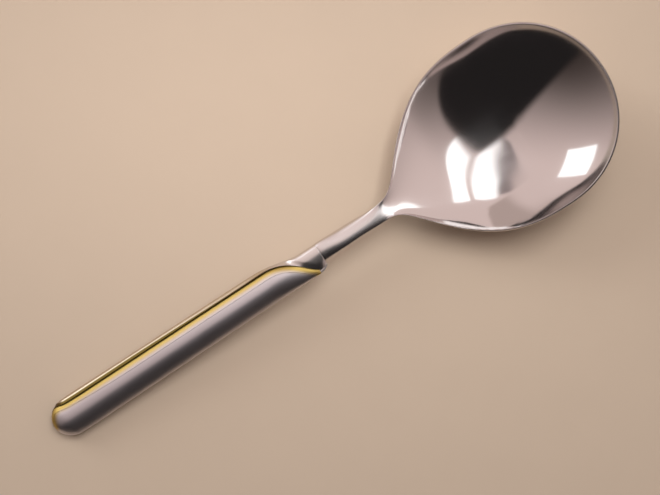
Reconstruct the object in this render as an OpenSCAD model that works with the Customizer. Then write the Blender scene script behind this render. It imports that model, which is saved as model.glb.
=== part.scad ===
// Serving spoon with a wide round bowl, a round shank and a hollow handle.
// The back shell of the handle wraps over its face like a leaf, and its free edge is a raised lip.
// X runs from the end of the handle to the tip of the bowl, Y to the side of the lip, Z up.
// The origin is on the table, under the middle of the spoon.

/* [Bowl] */
// Length of the bowl, from the neck to the tip
bowl_l = 98.8; // [80:0.1:110]
// Length of the bowl's front part, from its widest place to the tip
nose_l = 37; // [34:0.1:46]
// Width of the bowl across the outside of the rim
bowl_w = 74; // [60:0.1:80]
// Depth of the bowl inside, below the rim
bowl_depth = 16.5; // [12:0.1:22]
// Thickness of the bowl's floor
floor_t = 1.9; // [1.2:0.1:3]
// Width of the polished rim
rim_w = 1.2; // [0.8:0.05:2]
// Height of the rim's rounding
rim_round = 0.35; // [0.1:0.05:0.6]
// Rise of the rim towards the tip, in mm for each mm of length
rim_rise = 0.09; // [0.01:0.01:0.12]
// How far the rim dips behind the neck, where the bowl opens as a sloping fan
neck_dip = 4; // [2:0.1:6]

/* [Shank] */
// Length of the shank, from the handle's mouth to the neck
shank_l = 28.8; // [24:0.1:40]
// Width of the shank at the handle's mouth
shank_root_w = 8.3; // [6:0.1:9]
// Width of the shank at the neck
shank_neck_w = 6.8; // [4:0.1:8]
// Thickness of the shank at the handle's mouth
shank_root_t = 5.7; // [5:0.1:7]
// Thickness of the shank at the neck
shank_neck_t = 4.2; // [3:0.1:5]
// Rise of the shank from the bowl, in mm for each mm of length
shank_rise = 0.03; // [0:0.01:0.2]
// How far the shank's ridge leans away from the lip's side, as a share of its height
shank_lean = 0.5; // [0:0.05:0.7]
// Length of the tang inside the handle
tang_l = 44; // [25:1:70]
// Width of the tang
tang_w = 3.4; // [2.4:0.1:3.8]
// Thickness of the tang
tang_t = 2.1; // [1.6:0.1:2.5]

/* [Handle] */
// Length of the handle, from its end to its mouth
handle_l = 123.8; // [100:0.1:140]
// Width of the handle near its end
handle_w = 15.6; // [12:0.1:17]
// Width of the handle at the start of the lip's crossing
handle_front_w = 14; // [11:0.1:15]
// Height of the handle above its side seam
handle_top_h = 4; // [3.6:0.1:6]
// Height of the handle below its side seam
handle_under_h = 4.1; // [3.6:0.1:6]
// Length of the handle's rounded end
end_r = 9; // [6:0.2:12]
// Rise of the handle from the table, in mm for each mm of length
handle_rise = 0.06; // [0.03:0.005:0.15]
// How far the handle's middle lies towards the lip's side
handle_offset = 0.05; // [0:0.05:0.4]
// Half width of the leaf's mouth on the side of the lip's tip
mouth_half = 4.7; // [4.4:0.05:5.4]

/* [Shells and lip] */
// Wall of the outer leaf
leaf_t = 1.1; // [0.7:0.05:1.3]
// Wall of the inner face
face_t = 0.9; // [0.6:0.05:1.1]
// How far the face lies below the leaf at the lip's foot
lip_step = 1; // [0.5:0.05:1.1]
// Height of the bevel on the lip's edge
lip_bevel = 0.25; // [0.1:0.05:0.5]
// Width of the lip's top
lip_w = 1.4; // [0.7:0.05:1.8]
// Width of the lip's top in the middle of its crossing
cross_lip_w = 2.4; // [1.4:0.05:3]
// How far the lip's foot lies from the middle of the handle
lip_y = 5.5; // [4.6:0.05:6]
// Length of the lip's crossing at the handle's mouth
crossing_l = 24.1; // [18:0.1:30]
// Length over which the lip fades out at the handle's end
fade_l = 7; // [4:0.5:12]
// How far the face is tucked under the lip, as an angle of the handle's section
tuck_deg = 12; // [6:1:20]
// Width of the gilt band
gilt_w = 3.2; // [2:0.1:4.5]
// Thickness of the gilt band
gilt_t = 0.25; // [0.15:0.05:0.4]

/* [Joint] */
// Length of the braze ring in the handle's mouth
braze_l = 5; // [3:0.5:7]
// Clearance of the brazed and cemented faces
braze_gap = 0.05; // [0.03:0.01:0.08]
// Clearance between the lip's foot and the face beside it
lip_gap = 0.12; // [0.06:0.01:0.15]

/* [Resting] */
// How deep the bowl's back is worn flat
bowl_flat = 0.35; // [0.2:0.05:0.6]
// How deep the handle's end is worn flat
end_flat = 0.2; // [0.1:0.05:0.4]

/* [Hidden] */

// Places along the spoon
total_l = handle_l + shank_l + bowl_l;
x_end = -total_l / 2;
x_mouth = x_end + handle_l;
x_neck = x_mouth + shank_l;
x_tip = total_l / 2;
x_wide = x_tip - nose_l;
x_cross = x_mouth - crossing_l;

// Fullness of the bowl's plan: the nose is a superellipse, the flanks a power curve
nose_n = 2.04;
flank_n = 2.85;
flank_pull = 1.45;
// Fullness of the bowl's section, and of its floor along the middle
bowl_full = 0.35;
floor_n = 2.85;
// Squareness of the shank's and the tang's sections, where 2 is an ellipse
bar_n = 2.2;
tang_n = 3;
// How far the leaf's mouth lies inside the shank at its side and stands proud of it below
leaf_ease = 0.15;
leaf_proud = 0.2;
// The leaf starts to narrow this far before the crossing, and is done this far before its end
flare_ahead = 2;
flare_short = 6;
// Lengths over which two lines of the profile or plan run into each other
arch_soft = 4;
neck_soft = 1;
flank_soft = 4.6;
lean_l = 12;
lean_past = 4;
// The dip's place between the widest place and the neck, as shares of that length
dip_start = 0.1;
dip_grow = 0.6;
dip_close = 0.28;
// Crown of the handle's face on its closed side, where 1 is an ellipse and 2 a parabola
crown_n = 1.8;
// The stretch round the neck where the bar opens into the bowl
open_back = 15;
open_l = 22;
thin_l = 2 * open_l;
// The bowl's floor starts to sink this far behind the neck
floor_ahead = 12;
// The rim's rounding grows to its full height over this length
bead_l = 34;
bead_least = 0.3;
// Pull of the lip's S curve at its start and its end: along, as a share of the crossing, and
// sideways, past the side and past the tip
start_pull = 0.634;
start_out = 1.1;
end_pull = 0.241;
end_out = 5;
// The handle's last few degrees and mm, where the lip hasn't begun
end_turn = 7;
fade_start = 2;
// Share of the tuck and of the gilt's width that is left at the handle's end
tuck_least = 0.2;
gilt_least = 0.6;
gilt_grow_l = 4 * end_r;
// Least angles between the lip's foot and its crest, and between the tuck and the hollow
crest_deg = 5;
hollow_deg = 14;
// The side seam's angle, and how near to it the hollow goes above and below
seam_above = 8;
seam_below = 14;
// How much nearer than the leaf's wall the face and the hollow may come to the closed side
face_close = 1.3 * leaf_t;
hollow_close = 1.2 * leaf_t;
// Where the cement starts in the handle's end
fill_back = 0.55 * end_r;
// Least spacing of the sections that close the ring and the cement
end_space = 0.4;

// The rim rises, so the bowl's back is lowest behind its widest place, by about this much
rear_l = bowl_l - nose_l;
floor_l = rear_l + floor_ahead;
low_drop = pow(floor_l * rim_rise, 2) / (4 * floor_n * bowl_depth);

// Heights of the rim, the shank and the handle
rim_z_wide = bowl_depth + floor_t + rim_round + low_drop - bowl_flat;
end_z = sqrt(pow(handle_rise * end_r, 2) + pow(handle_under_h, 2)) - handle_rise * end_r - end_flat;

// Counts of the meshes
floor_n_rows = 13;
nose_cols = 32;
end_steps = 8;
side_steps = 16;
cross_steps = 17;
leaf_rows = 20;
face_rows = 14;
tuck_rows = 2;
gilt_rows = 4;

function clamp01(t) = max(0, min(1, t));
function mix(a, b, t) = a + (b - a) * t;
function ease(t) = let (c = clamp01(t)) c * c * (3 - 2 * c);
function soft_min(a, b, k) = min(a, b) - pow(max(k - abs(a - b), 0), 2) / (4 * k);
function soft_max(a, b, k) = -soft_min(-a, -b, k);
function super(v, n) = sign(v) * pow(abs(v), 2 / n);
function steps(a, b, n) = [for (i = [0:n]) mix(a, b, i / n)];
function tail(list) = [for (i = [1:len(list) - 1]) list[i]];
function reversed(list) = [for (i = [len(list) - 1:-1:0]) list[i]];

// The line along the top of the spoon: handle, shank and rim
function rear_share(x) = clamp01((x_wide - x) / rear_l);
function dip_share(x) =
    ease((rear_share(x) - dip_start) / dip_grow) * ease((1 - rear_share(x)) / dip_close);
function rim_line(x) = rim_z_wide + rim_rise * (x - x_wide) - neck_dip * dip_share(x);
function shank_line(x) = rim_line(x_neck) + shank_rise * (x_neck - x);
function handle_line(x) = end_z + handle_top_h + handle_rise * (x - x_end);
function top_line(x) =
    let (front = soft_max(shank_line(x), rim_line(x), neck_soft))
    let (rear = soft_min(handle_line(x), front, arch_soft))
    x >= x_wide ? rim_line(x) : mix(rear, front, ease((x - x_mouth) / shank_l));

// Plan and depth of the shank and the bowl
function shank_half(x) =
    mix(shank_neck_w, shank_root_w, pow(clamp01((x_neck - x) / shank_l), 2)) / 2;
function flank_half(x) = bowl_w / 2 * pow(1 - pow(rear_share(x), flank_n), flank_pull);
function plan_half(x) =
    x < x_wide ? soft_max(shank_half(x), flank_half(x), flank_soft) : bowl_w / 2;
function floor_share(x) = pow(1 - pow(clamp01((x_wide - x) / floor_l), 2), floor_n);
function bar_t(x) = mix(shank_neck_t, shank_root_t, clamp01((x_neck - x) / shank_l));
function wall_t(x) = mix(shank_neck_t, floor_t, ease((x - x_neck + open_back) / thin_l));
function bowl_curve(r) = (1 - r * r) * (1 + bowl_full * r * r);

// Half a section of the bar or the bowl, from the middle of its top round to the middle below
floor_share_rows = [for (s = steps(0, 1, floor_n_rows)) mix(s, sin(90 * s), 0.55)];
row_share = concat(floor_share_rows, [1.25, 1.75], reversed(floor_share_rows));
row_last = len(row_share) - 1;
function row_angle(m) = 90 - 180 * m / row_last;
function is_top(m) = m <= floor_n_rows;
function is_rim(m) = m > floor_n_rows && m < row_last - floor_n_rows;

// The bar's ridge leans by this much, and the bar stays as wide
function lean(x) =
    shank_lean * bar_t(x) / 2 * ease((x - x_mouth) / lean_l) * ease((x_neck + lean_past - x) / lean_l);
function bar_point(x, m, half, t, n) =
    let (a = row_angle(m))
    [
        x, sqrt(pow(half, 2) - pow(lean(x), 2)) * super(cos(a), n),
        top_line(x) - t / 2 + t / 2 * super(sin(a), n)
    ];

function bead(x) = rim_round * mix(bead_least, 1, ease((x - x_neck) / bead_l));
function bowl_z(x, m, depth, t) =
    is_rim(m)
        ? top_line(x)
        : top_line(x) - bead(x) - (is_top(m) ? depth : depth + t) * bowl_curve(row_share[m]);

function bowl_reach(x, m, half) =
    let (w = rim_w * mix(bead_least, 1, ease((x - x_neck) / bead_l)))
    is_top(m) ? row_share[m] * (half - w)
    : is_rim(m) ? half + (row_share[m] - 2) * w
    : row_share[m] * half;

function grounded(p) = [p[0], p[1], max(0, p[2])];

function body_point(x, m) =
    let (open = ease((x - x_neck + open_back) / open_l))
    let (bar = bar_point(x, m, plan_half(x), bar_t(x), bar_n))
    let (z = bowl_z(x, m, bowl_depth * floor_share(x), wall_t(x)))
    let (bowl = [x, bowl_reach(x, m, plan_half(x)), z])
    grounded(mix(bar, bowl, open));

function nose_point(a, m) =
    let (rim = [nose_l * super(cos(a), nose_n), bowl_w / 2 * super(sin(a), nose_n)])
    let (reach = bowl_reach(x_wide, m, norm(rim)) / norm(rim))
    let (x = x_wide + rim[0] * reach)
    grounded([x, rim[1] * reach, bowl_z(x, m, bowl_depth, floor_t)]);

// Stations of the forging from the tang's end to the widest place, each with its kind
tang_xs = steps(x_mouth - tang_l, x_mouth, 7);
shank_xs = steps(x_mouth, x_neck - open_back, 7);
neck_xs = tail(steps(x_neck - open_back, x_neck + open_l, 12));
rear_xs = tail(steps(x_neck + open_l, x_wide, 11));
stations = concat(
    [for (x = tang_xs) [x, true]], [for (x = concat(shank_xs, neck_xs, rear_xs)) [x, false]]
);
last_station = len(stations) - 1;

function tang_point(x, m) =
    let (p = bar_point(x, m, tang_w / 2, tang_t, tang_n))
    [p[0], p[1], p[2] + tang_t / 2 - mid_drop(x)];
function station_point(k, m) =
    stations[k][1] ? tang_point(stations[k][0], m) : body_point(stations[k][0], m);

function mirrored(p) = [p[0], -p[1], p[2]];
function leaned(p) =
    let (x = p[0], up = 1 - 2 * (top_line(x) - p[2]) / bar_t(x))
    x > x_neck + lean_past ? p : [x, p[1] - lean(x) * up, p[2]];
function forging_point(m, i) =
    i <= last_station ? leaned(station_point(i, m))
    : i >= last_station + nose_cols
        ? leaned(mirrored(station_point(2 * last_station + nose_cols - i, m)))
    : nose_point(90 - 180 * (i - last_station) / nose_cols, m);

col_last = 2 * last_station + nose_cols;
function spine_col(i) = min(i, col_last - i, last_station);
function forging_index(m, i) =
    m == 0 ? spine_col(i)
    : m == row_last ? last_station + 1 + spine_col(i)
    : 2 * (last_station + 1) + (m - 1) * (col_last + 1) + i;

forging_points = concat(
    [for (k = [0:last_station]) leaned(station_point(k, 0))],
    [for (k = [0:last_station]) leaned(station_point(k, row_last))],
    [for (m = [1:row_last - 1]) for (i = [0:col_last]) forging_point(m, i)]
);

// Two triangles for the corners a, b, c and d, without those that have no area
function triangles(a, b, c, d) = [
    for (f = [[a, b, c], [a, c, d]])
        if (f[0] != f[1] && f[1] != f[2] && f[2] != f[0]) f
];

forging_faces = concat(
    [
        for (m = [0:row_last - 1]) for (i = [0:col_last - 1])
            each triangles(
                forging_index(m, i), forging_index(m + 1, i),
                forging_index(m + 1, i + 1), forging_index(m, i + 1)
            )
    ],
    [
        for (m = [0:row_last - 1])
            each triangles(
                forging_index(m, 0), forging_index(m, col_last),
                forging_index(m + 1, col_last), forging_index(m + 1, 0)
            )
    ]
);

// Plan of the handle: rounded end, taper, the leaf's flare into the shank and the rolled mouth
function end_share(x) = sqrt(1 - pow(1 - clamp01((x - x_end) / end_r), 2));
function taper_half(x) =
    mix(handle_w, handle_front_w, clamp01((x - x_end) / (handle_l - crossing_l))) / 2;
function flare(x) = ease((x - x_cross + flare_ahead) / (crossing_l + flare_ahead - flare_short));
function left_half(x) =
    mix(taper_half(x) + handle_offset, shank_root_w / 2 - leaf_ease, flare(x)) * end_share(x);
function roll(x) = sqrt(1 - pow(clamp01((x - x_mouth + braze_l) / (braze_l + lip_gap)), 2));
function right_half(x) =
    mix(mouth_half, taper_half(x) - handle_offset, roll(x)) * end_share(x);
function upper_h(x) = mix(handle_top_h, shank_root_t / 2, flare(x)) * end_share(x);
function under_h(x) =
    mix(handle_under_h, shank_root_t / 2 + leaf_proud, flare(x)) * end_share(x);
function mid_drop(x) = mix(handle_top_h, shank_root_t / 2, flare(x));
function mid_z(x) = top_line(x) - mid_drop(x);

// A point of the handle's section at an angle from the lip's side, sunk below the surface
function side_half(x, a) = cos(a) > 0 ? left_half(x) : right_half(x);
function sunk(h, s) = s < h / 2 ? h - s : h * h / (4 * s);
function oval(x, a, s) =
    let (h = sin(a) > 0 ? upper_h(x) : under_h(x))
    let (rise = sin(a) > 0 && cos(a) < 0 ? pow(sin(a), mix(crown_n, 1, flare(x))) : sin(a))
    [x, sunk(side_half(x, a), s) * cos(a), max(0, mid_z(x) + sunk(h, s) * rise)];
// The angle at which a section sunk by s has the given y
function angle_at(x, y, s) =
    acos(max(-1, min(1, y / sunk(y > 0 ? left_half(x) : right_half(x), s))));
// The small angle that lifts a point of a section by the clearance
function gap_deg(x) = asin(min(0.9, braze_gap / sunk(upper_h(x), leaf_t)));

// The lip's foot in plan: along the side, then an S across the front to the pointed tip
lip_bezier = [
    [x_cross, lip_y], [x_cross + start_pull * crossing_l, lip_y + start_out],
    [x_mouth - end_pull * crossing_l, -mouth_half - end_out], [x_mouth, -mouth_half]
];
function bezier(p, t) =
    pow(1 - t, 3) * p[0] + 3 * t * pow(1 - t, 2) * p[1]
    + 3 * t * t * (1 - t) * p[2] + pow(t, 3) * p[3];
function lip_grow(x) = ease((x - x_end - fade_start) / fade_l);
function side_lip(x) = mix(left_half(x), lip_y, lip_grow(x));
end_xs = [for (i = [1:end_steps]) x_end + end_r * (1 - cos(90 * i / end_steps - end_turn))];
side_xs = [for (i = [1:side_steps - 1]) mix(x_end + end_r, x_cross, i / side_steps)];
side_path = [for (x = concat(end_xs, side_xs)) [x, min(side_lip(x), left_half(x))]];
cross_path = [for (i = [0:cross_steps]) bezier(lip_bezier, i / cross_steps)];
// The last point of the crossing at which the face still shows beside the lip
face_ends = len([for (p = cross_path) if (p[1] > face_close - right_half(p[0])) p]) - 1;
face_path = concat(side_path, [for (i = [0:face_ends]) cross_path[i]]);
leaf_path = concat(side_path, [for (p = cross_path) [min(p[0], x_mouth - braze_gap), p[1]]]);
function step_at(x) = lip_step * lip_grow(x);

// A closed skin over loops of points, each loop with an even number of them
function loop_faces(n, count, closed) = concat(
    [
        for (j = [0:count - (closed ? 1 : 2)]) for (i = [0:n - 1])
            let (k = (i + 1) % n, next = (j + 1) % count)
            each triangles(j * n + i, next * n + i, next * n + k, j * n + k)
    ],
    closed ? [] : [
        for (i = [0:n / 2 - 2])
            each triangles(i, i + 1, n - 2 - i, n - 1 - i)
    ],
    closed ? [] : [
        for (i = [0:n / 2 - 2])
            let (b = (count - 1) * n)
            each triangles(b + n - 1 - i, b + n - 2 - i, b + i + 1, b + i)
    ]
);
module skin(loops, closed = false) {
    points = [for (loop = loops) each loop];
    polyhedron(points, loop_faces(len(loops[0]), len(loops), closed), convexity = 8);
}

// The lip is widest in the middle of its crossing
function lip_w_at(x) =
    mix(lip_w, cross_lip_w, ease(1.6 * (1 - abs(2 * (x - x_cross) / crossing_l - 1))));

// A section of the leaf, from the seam below and round the side to the lip, and back inside
function leaf_loop(p) =
    let (x = p[0])
    let (outer_a = angle_at(x, p[1], 0))
    let (inner_a = min(180 - 3 * gap_deg(x), angle_at(x, p[1], leaf_t)))
    let (crest_a = min(outer_a - crest_deg, angle_at(x, p[1] + lip_w_at(x), 0)))
    let (lip = oval(x, outer_a, 0))
    concat(
        [for (a = steps(-180, crest_a, leaf_rows)) oval(x, a, 0)],
        [[lip[0], lip[1], lip[2] - lip_bevel * lip_grow(x)]],
        [oval(x, inner_a, leaf_t)],
        [for (a = steps(inner_a - tuck_deg, -180, leaf_rows)) oval(x, a, leaf_t)]
    );

// The visible surface of the face is sunk most at the lip and is flush at the seam
function face_sink(x, a, foot_a) = step_at(x) * pow(1 - clamp01((a - foot_a) / (180 - foot_a)), 2);
function foot_y(p) = p[1] - lip_gap;
function foot_angle(p) = angle_at(p[0], foot_y(p), step_at(p[0]));
function seam_angle(x) = 180 - gap_deg(x);
function gilt_end_y(p) =
    p[1] - gilt_w * mix(gilt_least, 1, ease((p[0] - x_end) / gilt_grow_l));
function gilt_end_angle(p) =
    min(
        mix(foot_angle(p), seam_angle(p[0]), 0.5),
        angle_at(p[0], gilt_end_y(p), step_at(p[0]) / 2)
    );
function gilt_angles(p) = steps(foot_angle(p), gilt_end_angle(p), gilt_rows);
function tuck_angles(p) =
    let (a = angle_at(p[0], foot_y(p), leaf_t + braze_gap))
    steps(a - tuck_deg * mix(tuck_least, 1, lip_grow(p[0])), a, tuck_rows);

function face_loop(p) =
    let (x = p[0])
    let (foot = foot_angle(p))
    let (tuck = [for (a = tuck_angles(p)) [a, leaf_t + braze_gap]])
    let (rebate = [for (a = gilt_angles(p)) [a, face_sink(x, a, foot) + gilt_t]])
    let (open = [
        for (a = steps(gilt_end_angle(p), seam_angle(x), face_rows)) [a, face_sink(x, a, foot)]
    ])
    let (outer = concat(tuck, rebate, open))
    concat(
        [for (q = outer) oval(x, q[0], q[1])],
        reversed([for (q = outer) oval(x, q[0], max(q[1], face_sink(x, q[0], foot)) + face_t)])
    );

function gilt_loop(p) =
    let (x = p[0])
    let (foot = foot_angle(p))
    let (angles = steps(foot, gilt_end_angle(p) - gap_deg(x), gilt_rows))
    concat(
        [for (a = angles) oval(x, a, face_sink(x, a, foot))],
        reversed([for (a = angles) oval(x, a, face_sink(x, a, foot) + gilt_t - braze_gap)])
    );

// The hollow of the handle as a ring of points, clear of both shells
function under_face(p, a) =
    let (covered = p[1] > hollow_close - right_half(p[0]))
    a > (covered ? tuck_angles(p)[0] - hollow_deg : 180 - seam_above) || a < seam_below - 180;
function hollow_sink(p, a) = leaf_t + braze_gap + (under_face(p, a) ? face_t + 2 * braze_gap : 0);
ring_n = 2 * row_last;
ring_angles = [for (i = [0:ring_n - 1]) 360 * (i + 0.5) / ring_n - 180];
function hollow_loop(p) = [for (a = ring_angles) oval(p[0], a, hollow_sink(p, a))];
function tang_loop(x, gap) = [
    for (a = ring_angles)
        [
            x, (tang_w / 2 + gap) * super(cos(a), tang_n),
            mid_z(x) + (tang_t / 2 + gap) * super(sin(a), tang_n)
        ]
];

x_braze = x_mouth - braze_l;
fill_front = x_braze - braze_gap;
fill_path = concat(
    [for (p = face_path) if (p[0] > x_end + fill_back && p[0] < fill_front - end_space) p],
    [lip_place(fill_front)]
);
braze_path = concat(
    [lip_place(x_braze)],
    [for (p = cross_path) if (p[0] > x_braze + end_space && p[0] < x_mouth - end_space) p],
    [[x_mouth - braze_gap, -mouth_half]]
);
// The lip's place in plan at any x of the crossing
function lip_place(x) =
    let (i = len([for (p = cross_path) if (p[0] < x) p]))
    let (a = cross_path[i - 1], b = cross_path[i])
    [x, mix(a[1], b[1], (x - a[0]) / (b[0] - a[0]))];

module bowl_and_shank() {
    color("silver")
    polyhedron(forging_points, forging_faces, convexity = 8);
}

module outer_leaf() {
    color("gainsboro")
    skin([for (p = leaf_path) leaf_loop(p)]);
}

module inner_face() {
    color("darkgray")
    skin([for (p = face_path) face_loop(p)]);
}

module gilt_band() {
    color("goldenrod")
    skin([for (p = face_path) gilt_loop(p)]);
}

module braze_ring() {
    color("tan")
    skin(concat(
        [for (p = braze_path) hollow_loop(p)],
        [for (p = reversed(braze_path)) tang_loop(p[0], braze_gap)]
    ), closed = true);
}

module handle_fill() {
    color("dimgray")
    skin(concat(
        [for (p = fill_path) hollow_loop(p)],
        [for (x = steps(fill_front, x_mouth - tang_l - braze_gap, 7)) tang_loop(x, braze_gap)]
    ));
}

bowl_and_shank();
outer_leaf();
inner_face();
gilt_band();
braze_ring();
handle_fill();
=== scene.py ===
"""A serving spoon on a pale table: its steel, its gilt band and the studio round it."""

import math

import bpy
from bpy.props import FloatProperty, FloatVectorProperty, PointerProperty
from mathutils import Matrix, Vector
from mathutils.bvhtree import BVHTree


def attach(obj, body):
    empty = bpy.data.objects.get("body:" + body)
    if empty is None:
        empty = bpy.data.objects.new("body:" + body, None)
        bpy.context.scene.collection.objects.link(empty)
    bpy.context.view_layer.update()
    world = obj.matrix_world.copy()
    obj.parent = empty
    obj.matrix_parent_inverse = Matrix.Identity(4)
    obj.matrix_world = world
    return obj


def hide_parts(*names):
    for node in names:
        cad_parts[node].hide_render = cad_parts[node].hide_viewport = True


bl_info = {
    "name": "Serving spoon",
    "version": (1, 0, 0),
    "blender": (4, 5, 0),
    "location": "3D View > Sidebar > Spoon",
    "description": "Finishes a hollow-handle serving spoon and lays it on a table",
    "category": "Object",
}

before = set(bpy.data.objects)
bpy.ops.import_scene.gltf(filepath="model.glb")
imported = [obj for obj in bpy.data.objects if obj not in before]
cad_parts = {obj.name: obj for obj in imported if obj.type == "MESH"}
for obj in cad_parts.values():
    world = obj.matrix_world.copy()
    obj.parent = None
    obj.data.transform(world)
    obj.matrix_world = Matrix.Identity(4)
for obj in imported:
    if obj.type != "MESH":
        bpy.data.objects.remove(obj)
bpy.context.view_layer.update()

MM = 0.001
BOWL_LENGTH = 98.8 * MM
# The lip begins to cross the handle this far behind the frame's middle
CROSSING_LENGTH = 26 * MM
# The rim's polish ends this far below the rim and starts this far ahead of the neck
RIM_DROP = 0.7 * MM
RIM_START = 6 * MM
# Points closer than this are merged in a copy of a node
MERGE_DISTANCE = 0.001 * MM
# A height above the whole spoon, from which its pieces are looked at
ABOVE = 1.0
# A face counts as upward when its normal's height is more than this
UPWARD = 0.3

# Edges sharper than the first angle are creased, those below the second are shaded smooth, and two
# triangles that meet at less than the third become a quad
CREASE_ANGLE = math.radians(30)
SHADE_ANGLE = math.radians(35)
QUAD_ANGLE = math.radians(60)
BOWL_CREASE = 0.6
LEAF_CREASE = 0.7
FACE_CREASE = 0.9
SMOOTHING_LEVELS = 2

# Scales of the brush lines across the spoon and along it, and of the smudges, to a metre
FINE_LINES = 4000.0
COARSE_LINES = 900.0
LINES_ALONG = 40.0
SMUDGE_SCALE = 60.0
# How far the brush lines and smudges swing the roughness
SATIN_SPREAD = 0.05
BOWL_SPREAD = 0.06
BRAZE_SPREAD = 0.1
# How much rougher the leaf is than polished steel
LEAF_ROUGHER = 0.08

# Places along the spoon: where the shank's satin turns into the bowl's, where the lip loses its warm tint
# and its gilt foot darkened with painted shade, and where that foot narrows
SATIN_CHANGE = (20 * MM, 40 * MM)
WARM_END = (-28 * MM, -18 * MM)
SHADED_FOOT_NARROWS = (-90 * MM, -30 * MM)
# The least width of the gilt foot with its painted shade, and the width over which its edge fades
SHADED_FOOT_LEAST = 0.2 * MM
SHADED_FOOT_FADE = 0.4 * MM
# Distances from the gilt band between which the lip's warm tint fades
WARM_FADE = (3 * MM, 4.5 * MM)

BRAZE_COLOUR = (0.62, 0.52, 0.38)
BRAZE_ROUGHNESS = 0.4
BRAZE_LINE_HEIGHT = 0.004 * MM
CEMENT_DARK = (0.22, 0.20, 0.18)
CEMENT_LIGHT = (0.42, 0.39, 0.36)
GRAIN_SCALE = 900.0
# Roughness of what isn't metal: the cement and the table
DULL = 0.85

# The camera's sensor in millimetres, and the photograph's width in pixels
SENSOR = 36.0
PHOTO_WIDTH = 660
CLIP_START = 10 * MM


# Settings that a user would change


def length_property(name, description, default):
    return FloatProperty(name=name, description=description, default=default, unit="LENGTH", precision=5)


def colour_property(name, description, default):
    return FloatVectorProperty(
        name=name, description=description, default=default, subtype="COLOR", size=3, min=0, max=1
    )


def share_property(name, description, default):
    return FloatProperty(
        name=name, description=description, default=default, min=0, max=1, subtype="FACTOR"
    )


class SPOON_PG_steel(bpy.types.PropertyGroup):
    """Finish of the steel"""

    bowl_colour: colour_property("Bowl colour", "Colour of the bowl's steel", (0.70, 0.66, 0.65))
    face_colour: colour_property("Face colour", "Colour of the handle's face", (0.62, 0.58, 0.60))
    leaf_colour: colour_property("Leaf colour", "Colour of the handle's back shell", (0.72, 0.68, 0.66))
    bowl_roughness: share_property("Bowl roughness", "Roughness of the satin inside the bowl", 0.085)
    face_roughness: share_property("Face roughness", "Roughness of the handle's satin", 0.33)
    shank_roughness: share_property("Shank roughness", "Roughness of the shank's satin", 0.23)
    lip_roughness: share_property("Lip roughness", "Roughness of the polished lip and rim", 0.14)
    line_height: length_property("Line height", "Depth of the brush lines", 0.0000010)


class SPOON_PG_gilt(bpy.types.PropertyGroup):
    """Finish of the gilt band"""

    colour: colour_property("Colour", "Colour of the gold", (0.46, 0.33, 0.10))
    roughness: share_property("Roughness", "Roughness of the gold", 0.36)
    # The lip's foot: gilt darkened into painted shade of the step under the lip, in this colour and over
    # this width
    foot_gilt_and_shade_colour: colour_property("Foot colour", "Colour of the gilt foot of the lip", (0.12, 0.08, 0.02))
    foot_gilt_and_shade_width: length_property("Foot width", "Width of the gilt foot of the lip", 0.0009)
    lip_colour: colour_property("Lip colour", "Colour of the lip's polished top", (0.62, 0.53, 0.40))
    solid_width: length_property("Solid width", "Width from the lip over which the gold is full", 0.0011)
    fade_width: length_property("Fade width", "Width over which the gold fades into the steel", 0.0024)


class SPOON_PG_stage(bpy.types.PropertyGroup):
    """Table, light and camera"""

    floor_colour: colour_property("Floor colour", "Colour of the table", (0.595, 0.475, 0.362))
    window_light: FloatProperty(name="Window light", description="Strength of the windows", default=8.0)
    window_glow: FloatProperty(
        name="Window glow", description="Strength of the windows in the metal", default=1.75
    )
    camera_height: length_property("Camera height", "Height of the camera above the table", 0.52)
    camera_x: length_property("Camera X", "Place of the camera along the spoon", 0.00234)
    camera_y: length_property("Camera Y", "Place of the camera across the spoon", -0.000465)
    camera_turn: FloatProperty(
        name="Camera turn", description="Turn of the picture from the spoon's length",
        default=math.radians(33.337), subtype="ANGLE",
    )
    focal_pixels: FloatProperty(
        name="Focal length", description="In pixels of the photograph", default=1327
    )


class SPOON_PG_settings(bpy.types.PropertyGroup):
    """All the settings of the spoon"""

    steel: PointerProperty(type=SPOON_PG_steel)
    gilt: PointerProperty(type=SPOON_PG_gilt)
    stage: PointerProperty(type=SPOON_PG_stage)


# Node trees


def new_node(tree, kind, inputs=None, **settings):
    """A node with its settings, and its inputs set or linked by name or number."""
    node = tree.nodes.new(kind)
    for key, value in settings.items():
        setattr(node, key, value)
    for key, value in (inputs or {}).items():
        if isinstance(value, bpy.types.NodeSocket):
            tree.links.new(value, node.inputs[key])
        else:
            node.inputs[key].default_value = value
    return node


def maths(tree, operation, a, b=0.0):
    return new_node(tree, "ShaderNodeMath", {0: a, 1: b}, operation=operation).outputs[0]


def smooth_range(tree, value, low, high, to_low=0.0, to_high=1.0):
    node = new_node(
        tree, "ShaderNodeMapRange", {0: value, 1: low, 2: high, 3: to_low, 4: to_high},
        interpolation_type="SMOOTHSTEP",
    )
    return node.outputs[0]


def blend_colours(tree, share, a, b):
    node = new_node(tree, "ShaderNodeMix", {0: share, 6: a, 7: b}, data_type="RGBA")
    return node.outputs[2]


def noise(tree, place, scale, detail):
    node = new_node(tree, "ShaderNodeTexNoise", {"Vector": place, "Scale": scale, "Detail": detail})
    return node.outputs[0]


def object_place(tree):
    return new_node(tree, "ShaderNodeTexCoord").outputs["Object"]


def along_spoon(tree):
    return new_node(tree, "ShaderNodeSeparateXYZ", {0: object_place(tree)}).outputs[0]


def stored(tree, name):
    """The number that store() kept under this name."""
    return new_node(tree, "ShaderNodeAttribute", attribute_name=name).outputs["Fac"]


def rgba(colour):
    return (*colour, 1.0)


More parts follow.
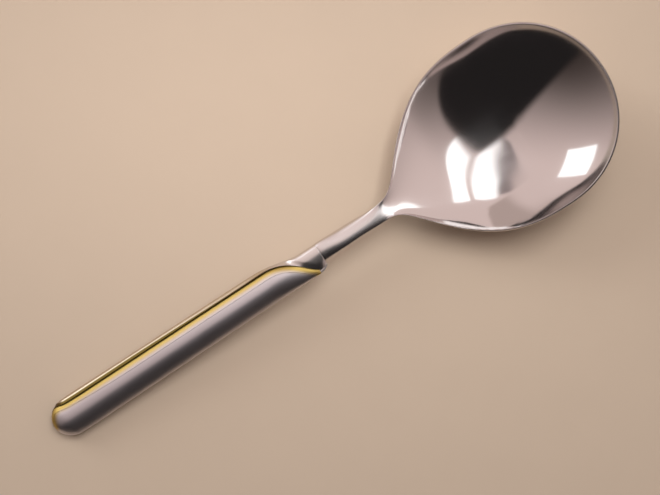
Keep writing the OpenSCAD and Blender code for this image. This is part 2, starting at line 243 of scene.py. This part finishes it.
def brushed_group():
    """Node group: fine lines along the spoon, with faint smudges in their roughness."""
    name = "brushed_metal"
    if name in bpy.data.node_groups:
        return bpy.data.node_groups[name]
    group = bpy.data.node_groups.new(name, "ShaderNodeTree")
    sockets = group.interface
    for label in ("Roughness", "Spread", "Across"):
        sockets.new_socket(label, in_out="INPUT", socket_type="NodeSocketFloat")
    sockets.new_socket("Roughness", in_out="OUTPUT", socket_type="NodeSocketFloat")
    sockets.new_socket("Lines", in_out="OUTPUT", socket_type="NodeSocketFloat")
    given = group.nodes.new("NodeGroupInput").outputs
    place = object_place(group)
    across = given["Across"]
    scale = new_node(group, "ShaderNodeCombineXYZ", {0: LINES_ALONG, 1: across, 2: across}).outputs[0]
    stretched = new_node(
        group, "ShaderNodeVectorMath", {0: place, 1: scale}, operation="MULTIPLY"
    ).outputs[0]
    lines = noise(group, stretched, 1.0, 3.0)
    smudges = noise(group, place, SMUDGE_SCALE, 4.0)
    both = maths(group, "ADD", maths(group, "MULTIPLY", lines, 0.5), maths(group, "MULTIPLY", smudges, 0.5))
    swing = maths(group, "MULTIPLY", maths(group, "SUBTRACT", both, 0.5), given["Spread"])
    roughness = maths(group, "ADD", given["Roughness"], maths(group, "MULTIPLY", swing, 2.0))
    output = group.nodes.new("NodeGroupOutput").inputs
    group.links.new(roughness, output["Roughness"])
    group.links.new(lines, output["Lines"])
    return group


def metal_material(
    name, colour, roughness, spread, line_height, across=FINE_LINES, rim=False, gilding=False
):
    """Brushed metal, with the bowl's polished rim or the gilding beside the lip."""
    material = bpy.data.materials.new(name)
    material.use_nodes = True
    tree = material.node_tree
    shader = tree.nodes["Principled BSDF"]
    shader.inputs["Metallic"].default_value = 1.0
    shader.inputs["Base Color"].default_value = rgba(colour)
    brushed = new_node(
        tree, "ShaderNodeGroup", {"Roughness": roughness, "Spread": spread, "Across": across},
        node_tree=brushed_group(),
    )
    rough = brushed.outputs["Roughness"]
    if rim:
        rough = polished_rim(tree, rough, roughness)
    if gilding:
        gold = rgba(bpy.context.scene.spoon.gilt.colour)
        tint = blend_colours(tree, gilding_mask(tree), rgba(colour), gold)
        tree.links.new(tint, shader.inputs["Base Color"])
    tree.links.new(rough, shader.inputs["Roughness"])
    lines = brushed.outputs["Lines"]
    bump = new_node(
        tree, "ShaderNodeBump", {"Height": lines, "Distance": line_height, "Strength": 1.0}
    )
    tree.links.new(bump.outputs[0], shader.inputs["Normal"])
    return material


def polished_rim(tree, rough, bowl_roughness):
    """The bowl's roughness, with the shank's behind it and the polish on the rim."""
    steel = bpy.context.scene.spoon.steel
    more = steel.shank_roughness - bowl_roughness
    satin = maths(tree, "ADD", rough, smooth_range(tree, along_spoon(tree), *SATIN_CHANGE, more, 0.0))
    polish = stored(tree, "polish")
    return new_node(tree, "ShaderNodeMix", {0: polish, 2: satin, 3: steel.lip_roughness}).outputs[0]


def gilding_mask(tree):
    """1 at the lip's foot, fading to 0 across the face."""
    gilt = bpy.context.scene.spoon.gilt
    end = gilt.solid_width + gilt.fade_width
    return smooth_range(tree, stored(tree, "from_lip"), gilt.solid_width, end, 1.0, 0.0)


# Pieces


def quad_copy(node, name):
    """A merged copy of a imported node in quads, selected and active."""
    bpy.ops.object.select_all(action="DESELECT")
    piece = bpy.data.objects.new(name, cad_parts[node].data.copy())
    piece.data.materials.clear()
    bpy.context.scene.collection.objects.link(piece)
    bpy.context.view_layer.objects.active = piece
    piece.select_set(True)
    bpy.ops.mesh.customdata_custom_splitnormals_clear()
    bpy.ops.object.mode_set(mode="EDIT")
    bpy.ops.mesh.select_all(action="SELECT")
    bpy.ops.mesh.remove_doubles(threshold=MERGE_DISTANCE)
    bpy.ops.mesh.tris_convert_to_quads(face_threshold=QUAD_ANGLE, shape_threshold=math.pi)
    bpy.ops.object.mode_set(mode="OBJECT")
    return piece


def crease_and_smooth(crease):
    """Creases the active piece's sharp edges and rounds the rest with a subdivision surface."""
    bpy.ops.object.mode_set(mode="EDIT")
    bpy.ops.mesh.select_all(action="DESELECT")
    bpy.ops.mesh.select_mode(type="EDGE")
    bpy.ops.mesh.edges_select_sharp(sharpness=CREASE_ANGLE)
    bpy.ops.transform.edge_crease(value=crease)
    bpy.ops.object.mode_set(mode="OBJECT")
    bpy.ops.object.modifier_add(type="SUBSURF")
    smoothing = bpy.context.object.modifiers[-1]
    smoothing.levels = smoothing.render_levels = SMOOTHING_LEVELS
    bpy.ops.object.modifier_apply(modifier=smoothing.name)
    bpy.ops.object.shade_smooth_by_angle(angle=SHADE_ANGLE)


def finish_piece(piece, node, material):
    """Gives the piece its material and puts it in the node's place."""
    piece.data.materials.append(material)
    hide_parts(node)
    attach(piece, "root")


def store(piece, name, values):
    """Keeps one number for each point of the piece, for its material to read."""
    attribute = piece.data.attributes.new(name, "FLOAT", "POINT")
    attribute.data.foreach_set("value", values)


def rim_shares(points):
    """1 at the bowl's rim, which is the highest point at each place along it, and 0 from RIM_DROP below."""
    neck = max(point.x for point in points) - BOWL_LENGTH
    rim = {}
    for point in points:
        place = int(point.x / MM)
        rim[place] = max(rim.get(place, 0.0), point.z)
    shares = []
    for point in points:
        drop = (rim[int(point.x / MM)] - point.z) / RIM_DROP
        shares.append(max(0.0, 1 - drop) if point.x > neck + RIM_START else 0.0)
    return shares


class SPOON_OT_bowl(bpy.types.Operator):
    """Finish the bowl and the shank"""

    bl_idname = "spoon.bowl"
    bl_label = "Bowl and shank"

    def execute(self, context):
        steel = context.scene.spoon.steel
        piece = quad_copy("bowl_and_shank", "bowl")
        crease_and_smooth(BOWL_CREASE)
        store(piece, "polish", rim_shares([v.co for v in piece.data.vertices]))
        material = metal_material(
            "forged_steel", steel.bowl_colour, steel.bowl_roughness, BOWL_SPREAD, steel.line_height,
            rim=True,
        )
        finish_piece(piece, "bowl_and_shank", material)
        return {"FINISHED"}


def flat_tree(mesh, polygons):
    """A search tree of some of the mesh's faces, as seen from above."""
    points = [(v.co.x, v.co.y, 0.0) for v in mesh.vertices]
    return BVHTree.FromPolygons(points, [p.vertices for p in polygons])


def store_distance(piece, name, tree):
    """Keeps each point's distance, as seen from above, from what the flat search tree holds."""
    points = [Vector((v.co.x, v.co.y, 0.0)) for v in piece.data.vertices]
    store(piece, name, [tree.find_nearest(point)[3] for point in points])


def tint_and_shade_lip(tree, settings):
    """Gilt darkened with painted shade at the lip's foot, then the warm polished lip, then plain steel."""
    gilt = settings.gilt
    distance = stored(tree, "from_gilt")
    along = along_spoon(tree)
    behind = smooth_range(tree, along, *WARM_END, 1.0, 0.0)
    warm = maths(tree, "MULTIPLY", smooth_range(tree, distance, *WARM_FADE, 1.0, 0.0), behind)
    steel = blend_colours(tree, warm, rgba(settings.steel.leaf_colour), rgba(gilt.lip_colour))
    # The dark gilt foot beside the gilt band is gilt with painted shade of the lip's step, widest towards
    # the handle's end
    width = smooth_range(tree, along, *SHADED_FOOT_NARROWS, gilt.foot_gilt_and_shade_width, SHADED_FOOT_LEAST)
    foot = smooth_range(tree, maths(tree, "SUBTRACT", distance, width), 0.0, SHADED_FOOT_FADE, 1.0, 0.0)
    tint = blend_colours(tree, maths(tree, "MULTIPLY", foot, behind), steel, rgba(gilt.foot_gilt_and_shade_colour))
    tree.links.new(tint, tree.nodes["Principled BSDF"].inputs["Base Color"])


class SPOON_OT_leaf(bpy.types.Operator):
    """Finish the handle's back shell and its lip"""

    bl_idname = "spoon.leaf"
    bl_label = "Outer leaf"

    def execute(self, context):
        steel = context.scene.spoon.steel
        piece = quad_copy("outer_leaf", "leaf")
        crease_and_smooth(LEAF_CREASE)
        roughness = steel.lip_roughness + LEAF_ROUGHER
        material = metal_material(
            "leaf_steel", steel.leaf_colour, roughness, SATIN_SPREAD, steel.line_height
        )
        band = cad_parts["gilt_band"].data
        store_distance(piece, "from_gilt", flat_tree(band, band.polygons))
        tint_and_shade_lip(material.node_tree, context.scene.spoon)
        finish_piece(piece, "outer_leaf", material)
        return {"FINISHED"}


def lip_from_above():
    """The lip's top, laid flat: the leaf's upward faces that the handle's face doesn't cover."""
    leaf = bpy.data.objects["leaf"].data
    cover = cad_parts["inner_face"].data
    above = BVHTree.FromPolygons([v.co for v in cover.vertices], [p.vertices for p in cover.polygons])
    top = []
    for polygon in leaf.polygons:
        start = Vector((polygon.center.x, polygon.center.y, ABOVE))
        hit = above.ray_cast(start, Vector((0, 0, -1)))[0]
        beside = polygon.center.y > 0 or polygon.center.x > -CROSSING_LENGTH
        if polygon.normal.z > UPWARD and beside and (hit is None or hit.z < polygon.center.z):
            top.append(polygon)
    return flat_tree(leaf, top)


class SPOON_OT_face(bpy.types.Operator):
    """Finish the handle's face and the gilt band beside the lip"""

    bl_idname = "spoon.face"
    bl_label = "Face and gilt band"

    def execute(self, context):
        steel, gilt = context.scene.spoon.steel, context.scene.spoon.gilt
        lip = lip_from_above()
        face_steel = metal_material(
            "face_steel", steel.face_colour, steel.face_roughness, SATIN_SPREAD, steel.line_height,
            gilding=True,
        )
        gold = metal_material(
            "gilt", steel.face_colour, gilt.roughness, SATIN_SPREAD, steel.line_height, gilding=True
        )
        for node, name, slot, material in (
            ("inner_face", "face", "face_steel", face_steel),
            ("gilt_band", "gilding", "gilt", gold),
        ):
            piece = quad_copy(node, name)
            crease_and_smooth(FACE_CREASE)
            store_distance(piece, "from_lip", lip)
            finish_piece(piece, node, material)
        return {"FINISHED"}


class SPOON_OT_core(bpy.types.Operator):
    """Finish the braze and the cement that the handle hides"""

    bl_idname = "spoon.core"
    bl_label = "Braze and cement"

    def execute(self, context):
        braze = metal_material(
            "braze", BRAZE_COLOUR, BRAZE_ROUGHNESS, BRAZE_SPREAD, BRAZE_LINE_HEIGHT, across=COARSE_LINES
        )
        cement = bpy.data.materials.new("cement")
        cement.use_nodes = True
        tree = cement.node_tree
        grains = noise(tree, object_place(tree), GRAIN_SCALE, 4.0)
        tint = blend_colours(tree, grains, rgba(CEMENT_DARK), rgba(CEMENT_LIGHT))
        shader = tree.nodes["Principled BSDF"]
        tree.links.new(tint, shader.inputs["Base Color"])
        shader.inputs["Roughness"].default_value = DULL
        for node, material in (("braze_ring", braze), ("handle_fill", cement)):
            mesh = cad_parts[node].data
            mesh.materials.clear()
            mesh.materials.append(material)
        return {"FINISHED"}


# Stage


def sky_direction(azimuth, elevation):
    """A direction in the picture's axes: azimuth 0 is up in the picture and 90 to its right."""
    a, e = math.radians(azimuth), math.radians(elevation)
    return Vector((math.cos(e) * math.sin(a), math.cos(e) * math.cos(a), math.sin(e)))


FLOOR_SIZE = 12.0
# The painted pool of light on the table: its brightest place in the picture's axes, and the distances over
# which painted shade darkens the table's colour along them
PAINTED_LIGHT_CENTRE = (-0.024, 0.066, 0)
PAINTED_LIGHT_FADE = (0.30, 0.19, 1)
# The share of its painted light that the table keeps far away, where the painted shade is deepest
PAINTED_LIGHT_LEAST = 0.5
MOTTLE_SCALE = 45.0
MOTTLE_SHARE = 0.02

# Light of the room's dark side and lit side, where the lit side is, and how far round each one reaches
ROOM_DARK = (0.045, 0.034, 0.03)
ROOM_LIT = (0.86, 0.70, 0.66)
ROOM_FRONT = (10, 0)
ROOM_CHANGE = (-0.95, 0.6)
# What the camera sees beyond the table
BEYOND = (0.40, 0.315, 0.25)

# The two windows over the spoon and the one beside it, as corners in azimuth and elevation
WINDOWS = {
    "side": [(-61, 38), (-71, 11), (-47, 5), (-34, 25)],
    "left": [(101, 69), (50, 75), (10, 48), (29, 35)],
    "right": [(41, 76), (46, 80), (-11, 59), (-14, 44), (4, 50)],
}
WINDOW_EDGE = 0.012
# The wall between two windows, and the wall below it
STRIP = [(44, 80.5), (8, 78.5), (-21, 42), (-15, 46)]
STRIP_EDGE = 0.01
STRIP_SHARE = 0.9
STRIP_COLOUR = (0.20, 0.16, 0.16)
WALL = [(-19, 41), (-27, 3), (-6, 3), (-9, 38)]
WALL_EDGE = 0.03
WALL_COLOUR = (0.58, 0.46, 0.42)
# What stands dark over the spoon: two corners on each side with that side's softness, and its middle
DARK_SIDES = {((136, 19), (103, 69)): 0.015, ((64, 75), (32, 78)): 0.012, ((-138, 74), (-139, 31)): 0.06}
DARK_CENTRE = (172, 32)
DARK_COLOUR = (0.019, 0.017, 0.017)


def dot_product(tree, a, b):
    return new_node(tree, "ShaderNodeVectorMath", {0: a, 1: b}, operation="DOT_PRODUCT").outputs["Value"]


def turned_place(tree, place, stage):
    """A place or direction in the picture's axes."""
    given = {"Vector": place, "Angle": stage.camera_turn}
    return new_node(tree, "ShaderNodeVectorRotate", given, rotation_type="Z_AXIS").outputs[0]


def enclosed(tree, direction, sides, centre):
    """1 where a direction is on the centre's side of every great circle, each with its softness."""
    mask = None
    for corners, softness in sides:
        normal = sky_direction(*corners[0]).cross(sky_direction(*corners[1])).normalized()
        if normal.dot(centre) <= 0:
            normal = -normal
        side = smooth_range(tree, dot_product(tree, direction, normal), -softness, softness)
        mask = side if mask is None else maths(tree, "MULTIPLY", mask, side)
    return mask


def window_mask(tree, direction, corners, softness):
    """1 inside the convex shape with these corners, which go round it."""
    centre = sum((sky_direction(*corner) for corner in corners), Vector())
    pairs = zip(corners, corners[1:] + corners[:1])
    return enclosed(tree, direction, [(pair, softness) for pair in pairs], centre)


def make_world(stage):
    world = bpy.data.worlds.new("studio")
    bpy.context.scene.world = world
    world.use_nodes = True
    world.cycles.sampling_method = "AUTOMATIC"
    tree = world.node_tree
    place = new_node(tree, "ShaderNodeTexCoord").outputs["Generated"]
    direction = turned_place(tree, place, stage)
    front = dot_product(tree, direction, sky_direction(*ROOM_FRONT))
    lit = smooth_range(tree, front, *ROOM_CHANGE)
    room = blend_colours(tree, lit, rgba(ROOM_DARK), rgba(ROOM_LIT))
    strip = maths(tree, "MULTIPLY", window_mask(tree, direction, STRIP, STRIP_EDGE), STRIP_SHARE)
    room = blend_colours(tree, strip, room, rgba(STRIP_COLOUR))
    wall = window_mask(tree, direction, WALL, WALL_EDGE)
    room = blend_colours(tree, wall, room, rgba(WALL_COLOUR))
    path = new_node(tree, "ShaderNodeLightPath").outputs
    level = new_node(
        tree, "ShaderNodeMix", {0: path["Is Glossy Ray"], 2: stage.window_light, 3: stage.window_glow}
    ).outputs[0]
    glow = new_node(tree, "ShaderNodeCombineColor", {0: level, 1: level, 2: level}).outputs[0]
    for corners in WINDOWS.values():
        room = blend_colours(tree, window_mask(tree, direction, corners, WINDOW_EDGE), room, glow)
    dark = enclosed(tree, direction, DARK_SIDES.items(), sky_direction(*DARK_CENTRE))
    room = blend_colours(tree, dark, room, rgba(DARK_COLOUR))
    seen = blend_colours(tree, path["Is Camera Ray"], room, rgba(BEYOND))
    tree.links.new(seen, tree.nodes["Background"].inputs["Color"])


def painted_table_light(tree, place, stage):
    """Painted light in the table's colour: 1 at its brightest place, and less all round it as painted
    shade.
    """
    turned = turned_place(tree, place, stage)
    offset = new_node(
        tree, "ShaderNodeVectorMath", {0: turned, 1: PAINTED_LIGHT_CENTRE}, operation="SUBTRACT"
    ).outputs[0]
    scaled = new_node(
        tree, "ShaderNodeVectorMath", {0: offset, 1: PAINTED_LIGHT_FADE}, operation="DIVIDE"
    ).outputs[0]
    far = dot_product(tree, scaled, scaled)
    depth = 1 - PAINTED_LIGHT_LEAST
    drop = maths(tree, "ADD", maths(tree, "DIVIDE", far, depth), 1.0)
    return maths(tree, "ADD", maths(tree, "DIVIDE", depth, drop), PAINTED_LIGHT_LEAST)


def make_floor(stage):
    bpy.ops.mesh.primitive_plane_add(size=FLOOR_SIZE, location=(0, 0, 0))
    floor = bpy.context.object
    floor.name = "table"
    material = bpy.data.materials.new("table")
    material.use_nodes = True
    tree = material.node_tree
    shader = tree.nodes["Principled BSDF"]
    shader.inputs["Roughness"].default_value = DULL
    place = object_place(tree)
    mottle = noise(tree, place, MOTTLE_SCALE, 5.0)
    low = [(1 - MOTTLE_SHARE) * share for share in stage.floor_colour]
    high = [min(1.0, (1 + MOTTLE_SHARE) * share) for share in stage.floor_colour]
    tone = blend_colours(tree, mottle, rgba(low), rgba(high))
    # The table's colour is darkened away from one place: a painted pool of light with painted shade round
    # it
    light = painted_table_light(tree, place, stage)
    shade = new_node(tree, "ShaderNodeHueSaturation", {"Color": tone, "Value": light})
    tree.links.new(shade.outputs[0], shader.inputs["Base Color"])
    floor.data.materials.append(material)


def make_camera(stage):
    bpy.ops.object.camera_add(
        location=(stage.camera_x, stage.camera_y, stage.camera_height), rotation=(0, 0, -stage.camera_turn)
    )
    camera = bpy.context.object
    camera.data.sensor_width = SENSOR
    camera.data.lens = SENSOR * stage.focal_pixels / PHOTO_WIDTH
    camera.data.clip_start = CLIP_START
    bpy.context.scene.camera = camera


class SPOON_OT_stage(bpy.types.Operator):
    """Set the table, the light and the camera"""

    bl_idname = "spoon.stage"
    bl_label = "Stage"

    def execute(self, context):
        stage = context.scene.spoon.stage
        context.scene.view_settings.view_transform = "Standard"
        make_world(stage)
        make_floor(stage)
        make_camera(stage)
        return {"FINISHED"}


class SPOON_PT_panel(bpy.types.Panel):
    """The spoon's settings and its pieces"""

    bl_label = "Serving spoon"
    bl_idname = "SPOON_PT_panel"
    bl_space_type = "VIEW_3D"
    bl_region_type = "UI"
    bl_category = "Spoon"

    def draw(self, context):
        for group in ("steel", "gilt", "stage"):
            box = self.layout.box()
            box.label(text=group.title())
            settings = getattr(context.scene.spoon, group)
            for key in settings.__annotations__:
                box.prop(settings, key)
        for operator in OPERATORS:
            self.layout.operator(operator.bl_idname)


OPERATORS = (SPOON_OT_bowl, SPOON_OT_leaf, SPOON_OT_face, SPOON_OT_core, SPOON_OT_stage)
CLASSES = (SPOON_PG_steel, SPOON_PG_gilt, SPOON_PG_stage, SPOON_PG_settings, *OPERATORS, SPOON_PT_panel)


def register():
    for cls in CLASSES:
        bpy.utils.register_class(cls)
    bpy.types.Scene.spoon = PointerProperty(type=SPOON_PG_settings)


def unregister():
    del bpy.types.Scene.spoon
    for cls in reversed(CLASSES):
        bpy.utils.unregister_class(cls)


def main():
    register()
    bpy.ops.spoon.bowl()
    bpy.ops.spoon.leaf()
    bpy.ops.spoon.face()
    bpy.ops.spoon.core()
    bpy.ops.spoon.stage()


if __name__ == "__main__":
    main()
